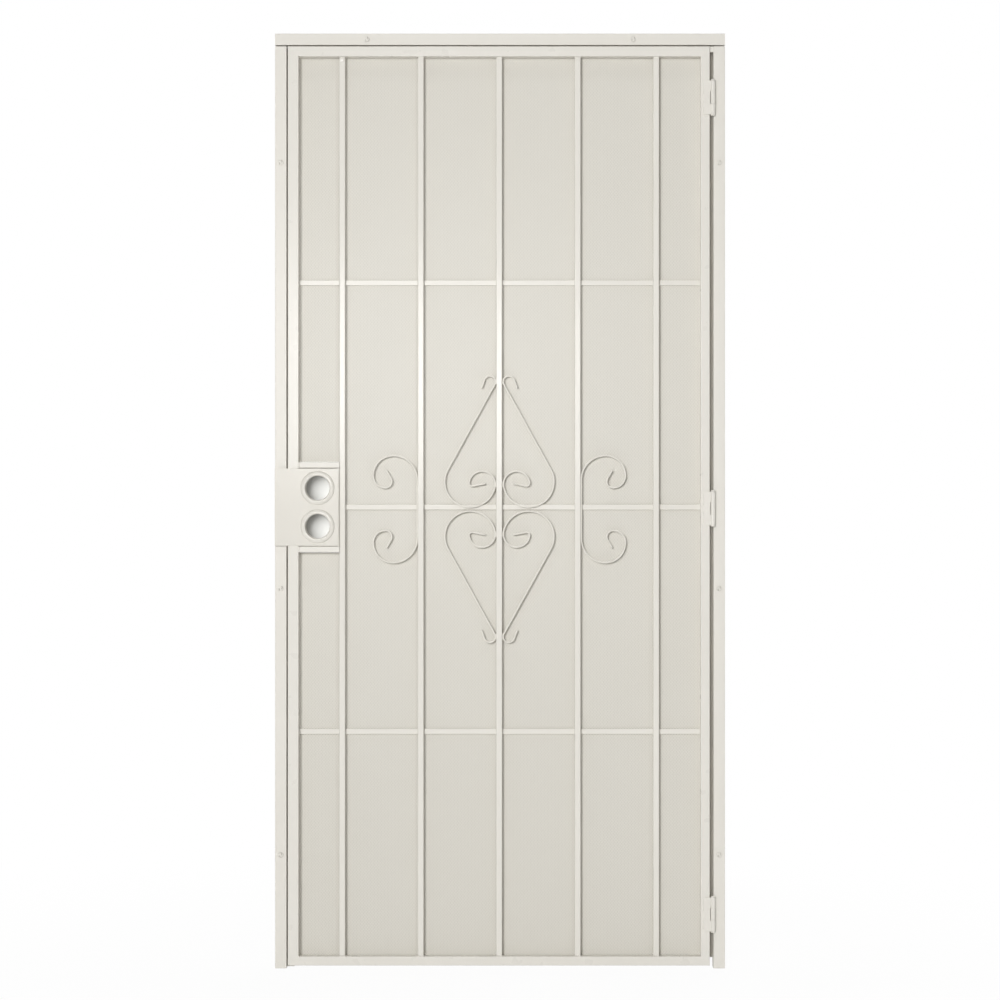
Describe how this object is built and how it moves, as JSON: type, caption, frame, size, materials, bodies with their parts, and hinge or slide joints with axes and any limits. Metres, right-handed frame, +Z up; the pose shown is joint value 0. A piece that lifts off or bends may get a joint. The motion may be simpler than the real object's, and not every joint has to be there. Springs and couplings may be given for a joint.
{
  "type": "steel security screen door",
  "caption": "Welded steel security screen door with bars, bent flat-bar scrolls, an expanded-metal screen and a latch guard, hinged in its own tube frame for fixing round a doorway.",
  "frame": {"origin": "on the back face of the hinge-side jamb, at the middle of its width and level with its foot, where it meets the wall", "axes": "+X to the right seen from outside, +Y into the wall, +Z up"},
  "size_m": [0.9906, 0.0516, 2.058],
  "materials": {
    "almond_paint": "semi-gloss almond powder coat on steel tube and flat bar",
    "screen_paint": "almond powder coat on fine expanded metal"
  },
  "bodies": {
    "frame": {"header": "almond_paint", "header_stop": "almond_paint", "hinge_bottom_jamb_plate": "almond_paint", "hinge_bottom_pin": "almond_paint", "hinge_corner_tab": "almond_paint", "hinge_jamb": "almond_paint", "hinge_middle_jamb_plate": "almond_paint", "hinge_middle_pin": "almond_paint", "hinge_spigot": "almond_paint", "hinge_stop": "almond_paint", "hinge_top_jamb_plate": "almond_paint", "hinge_top_pin": "almond_paint", "strike_jamb": "almond_paint", "strike_spigot": "almond_paint", "strike_stop": "almond_paint"},
    "leaf": {"bottom_rail": "almond_paint", "c_scroll_left": "almond_paint", "c_scroll_right": "almond_paint", "crossbar_lower": "almond_paint", "crossbar_middle": "almond_paint", "crossbar_upper": "almond_paint", "hinge_bottom_leaf_strap": "almond_paint", "hinge_middle_leaf_strap": "almond_paint", "hinge_stile": "almond_paint", "hinge_top_leaf_strap": "almond_paint", "lock_box_back": "almond_paint", "lock_box_bottom_tube": "almond_paint", "lock_box_top_tube": "almond_paint", "lock_plate": "almond_paint", "lock_stile": "almond_paint", "s_scroll_lower_left": "almond_paint", "s_scroll_lower_right": "almond_paint", "s_scroll_upper_left": "almond_paint", "s_scroll_upper_right": "almond_paint", "screen": "screen_paint", "screen_strip_bottom": "almond_paint", "screen_strip_hinge": "almond_paint", "screen_strip_lock": "almond_paint", "screen_strip_top": "almond_paint", "top_rail": "almond_paint", "vertical_bar_1": "almond_paint", "vertical_bar_2": "almond_paint", "vertical_bar_3": "almond_paint", "vertical_bar_4": "almond_paint", "vertical_bar_5": "almond_paint"}
  },
  "joints": [
    {"name": "leaf_swing", "type": "hinge", "parent": "frame", "child": "leaf", "pos_m": [-0.0142, -0.0446, 0], "axis": [0, 0, 1], "range_deg": [0, 170]}
  ]
}
